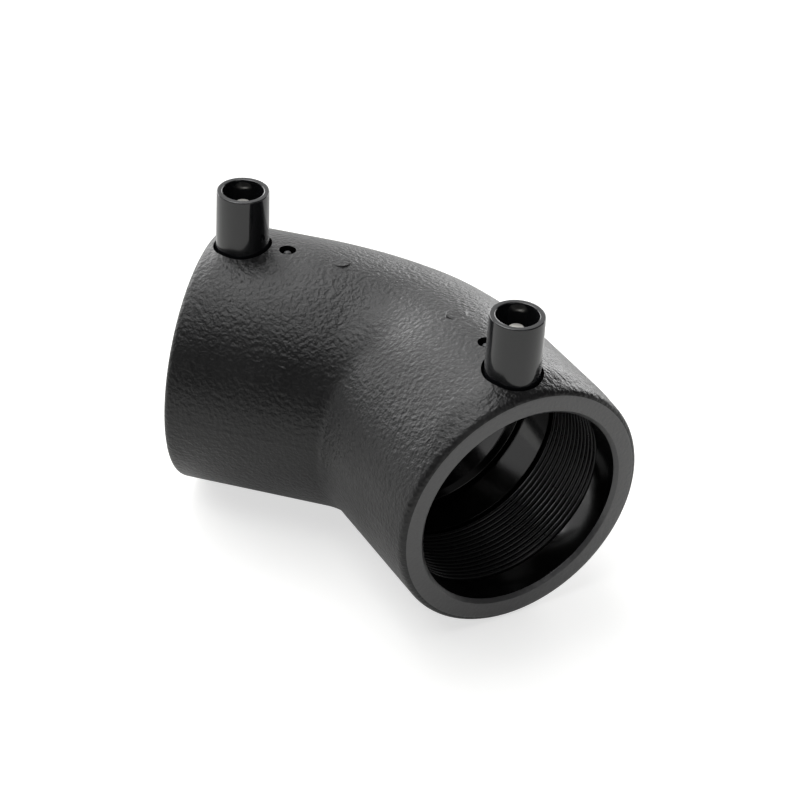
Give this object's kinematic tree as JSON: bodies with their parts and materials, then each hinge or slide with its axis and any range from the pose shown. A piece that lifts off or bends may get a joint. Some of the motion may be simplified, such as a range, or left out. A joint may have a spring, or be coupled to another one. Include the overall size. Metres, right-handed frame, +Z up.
{
  "type": "45 degree electrofusion elbow",
  "caption": "Black 45 degree electrofusion pipe elbow with wire-wound sockets, shrouded terminal pins on top and fusion indicators beside them.",
  "frame": {"origin": "middle of the elbow's footprint on the surface it lies on", "axes": "+Z up, the way both terminals point; +X from the rear socket to the front socket, along the chord of the bend; +Y towards the outside of the bend"},
  "size_m": [0.1194, 0.0771, 0.0789],
  "materials": {
    "black_polyethylene": "satin, fine spark-eroded grain",
    "glossy_black_polyethylene": "polished moulding",
    "tinned_brass": "bright tin plate",
    "wire_coat": "extruded coat",
    "indicator_polyethylene": "as moulded"
  },
  "bodies": {
    "root": {"elbow_body": "black_polyethylene", "heating_wire": "wire_coat", "front_terminal_shroud": "glossy_black_polyethylene", "front_terminal_pin": "tinned_brass", "front_fusion_indicator": "indicator_polyethylene", "rear_terminal_shroud": "glossy_black_polyethylene", "rear_terminal_pin": "tinned_brass", "rear_fusion_indicator": "indicator_polyethylene"}
  },
  "joints": []
}
